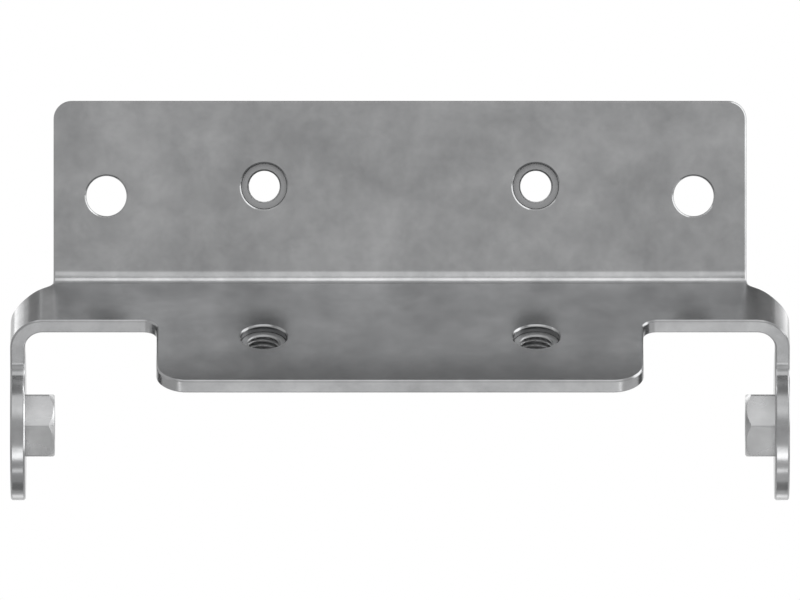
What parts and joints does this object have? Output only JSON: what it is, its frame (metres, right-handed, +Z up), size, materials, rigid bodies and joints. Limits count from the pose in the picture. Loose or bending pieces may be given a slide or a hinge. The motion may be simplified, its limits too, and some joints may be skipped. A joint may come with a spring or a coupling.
{
  "type": "ladder support plate",
  "caption": "Folded galvanised plate with an upright flange, a sloping shelf with a tongue, and round-ended side ears, tapped by weld nuts to bolt a ladder on.",
  "frame": {"origin": "on the front face of the upright back flange, midway between its two plain bolt holes", "axes": "+X to the right across the plate, +Y backwards through the back flange, +Z up; the shelf slopes forward (-Y) and down"},
  "size_m": [0.2134, 0.0708, 0.1095],
  "materials": {
    "galvanised_sheet": "hot-dip galvanised steel sheet, satin, with soft cloudy patches",
    "plated_nut": "bright zinc-plated steel, satin"
  },
  "bodies": {
    "root": {"support_plate": "galvanised_sheet", "back_left_nut": "plated_nut", "back_right_nut": "plated_nut", "shelf_left_nut": "plated_nut", "shelf_right_nut": "plated_nut", "ear_left_nut": "plated_nut", "ear_right_nut": "plated_nut"}
  },
  "joints": []
}
